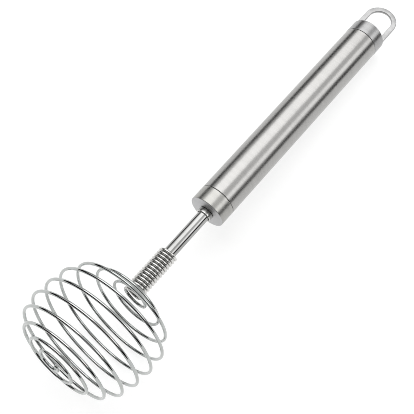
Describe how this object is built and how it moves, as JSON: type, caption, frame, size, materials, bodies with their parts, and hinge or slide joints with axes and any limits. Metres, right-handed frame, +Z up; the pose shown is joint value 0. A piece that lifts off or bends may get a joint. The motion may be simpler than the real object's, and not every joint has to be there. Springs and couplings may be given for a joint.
{
  "type": "ball whisk",
  "caption": "Hand whisk for eggs: a capped tube handle with a hanging loop, and a thin rod whose spring wire opens out into a ball of spaced turns.",
  "frame": {"origin": "middle of the outline on the ground the whisk lies on", "axes": "+X from the ball towards the hanging loop, +Z up; the handle slopes down a little towards the loop"},
  "size_m": [0.2744, 0.0648, 0.065],
  "materials": {
    "brushed_tube": "finely brushed round the handle",
    "brushed_cap": "brushed, slightly warm",
    "polished_steel": "polished",
    "spring_steel": "bright drawn spring wire",
    "plain_steel": "plain machined"
  },
  "bodies": {
    "handle": {"handle_tube": "brushed_tube", "front_cap": "brushed_cap", "rear_cap": "brushed_cap", "neck_rod": "polished_steel", "rod_collar": "polished_steel", "rod_washer": "plain_steel", "rod_nut": "plain_steel", "hanging_loop": "polished_steel", "neck_coil": "spring_steel"},
    "ball_turn_1": {"ball_turn_1": "spring_steel"},
    "ball_turn_2": {"ball_turn_2": "spring_steel"},
    "ball_turn_3": {"ball_turn_3": "spring_steel"},
    "ball_turn_4": {"ball_turn_4": "spring_steel"},
    "ball_turn_5": {"ball_turn_5": "spring_steel"},
    "ball_turn_6": {"ball_turn_6": "spring_steel"},
    "ball_turn_7": {"ball_turn_7": "spring_steel"},
    "ball_turn_8": {"ball_turn_8": "spring_steel"},
    "ball_turn_9": {"ball_turn_9": "spring_steel"},
    "ball_turn_10": {"ball_turn_10": "spring_steel"},
    "ball_tip": {"ball_tip": "spring_steel"}
  },
  "joints": [
    {"name": "ball_sway", "type": "hinge", "parent": "handle", "child": "ball_turn_1", "pos_m": [-0.08503, 0.00343, 0.02836], "axis": [0.0858, 0, 0.9963], "range_deg": [-6, 6], "stiffness_Nm_per_rad": 0.09},
    {"name": "ball_nod", "type": "hinge", "parent": "ball_turn_1", "child": "ball_turn_2", "pos_m": [-0.08578, 0.00854, 0.02987], "axis": [0, 1, 0], "range_deg": [-8, 8], "stiffness_Nm_per_rad": 0.09, "springref_deg": -5.73},
    {"name": "ball_press", "type": "slide", "parent": "ball_turn_2", "child": "ball_tip", "axis": [0.9797, -0.0267, -0.1985], "range_m": [-0.005, 0.015], "stiffness_N_per_m": 50},
    {"name": "turn_3_press", "type": "slide", "parent": "ball_turn_2", "child": "ball_turn_3", "axis": [0.9797, -0.0267, -0.1985], "range_m": [-0.000049, 0.000145]},
    {"name": "turn_4_press", "type": "slide", "parent": "ball_turn_2", "child": "ball_turn_4", "axis": [0.9797, -0.0267, -0.1985], "range_m": [-0.00054, 0.00161]},
    {"name": "turn_5_press", "type": "slide", "parent": "ball_turn_2", "child": "ball_turn_5", "axis": [0.9797, -0.0267, -0.1985], "range_m": [-0.00163, 0.00488]},
    {"name": "turn_6_press", "type": "slide", "parent": "ball_turn_2", "child": "ball_turn_6", "axis": [0.9797, -0.0267, -0.1985], "range_m": [-0.00297, 0.00889]},
    {"name": "turn_7_press", "type": "slide", "parent": "ball_turn_2", "child": "ball_turn_7", "axis": [0.9797, -0.0267, -0.1985], "range_m": [-0.00413, 0.01237]},
    {"name": "turn_8_press", "type": "slide", "parent": "ball_turn_2", "child": "ball_turn_8", "axis": [0.9797, -0.0267, -0.1985], "range_m": [-0.00477, 0.01432]},
    {"name": "turn_9_press", "type": "slide", "parent": "ball_turn_2", "child": "ball_turn_9", "axis": [0.9797, -0.0267, -0.1985], "range_m": [-0.00497, 0.01491]},
    {"name": "turn_10_press", "type": "slide", "parent": "ball_turn_2", "child": "ball_turn_10", "axis": [0.9797, -0.0267, -0.1985], "range_m": [-0.005, 0.015]}
  ],
  "couplings": [
    {"joint": "turn_3_press", "follows": "ball_press", "ratio": 0.0096},
    {"joint": "turn_4_press", "follows": "ball_press", "ratio": 0.1069},
    {"joint": "turn_5_press", "follows": "ball_press", "ratio": 0.3253},
    {"joint": "turn_6_press", "follows": "ball_press", "ratio": 0.5927},
    {"joint": "turn_7_press", "follows": "ball_press", "ratio": 0.8248},
    {"joint": "turn_8_press", "follows": "ball_press", "ratio": 0.9544},
    {"joint": "turn_9_press", "follows": "ball_press", "ratio": 0.9938},
    {"joint": "turn_10_press", "follows": "ball_press", "ratio": 0.9996}
  ]
}
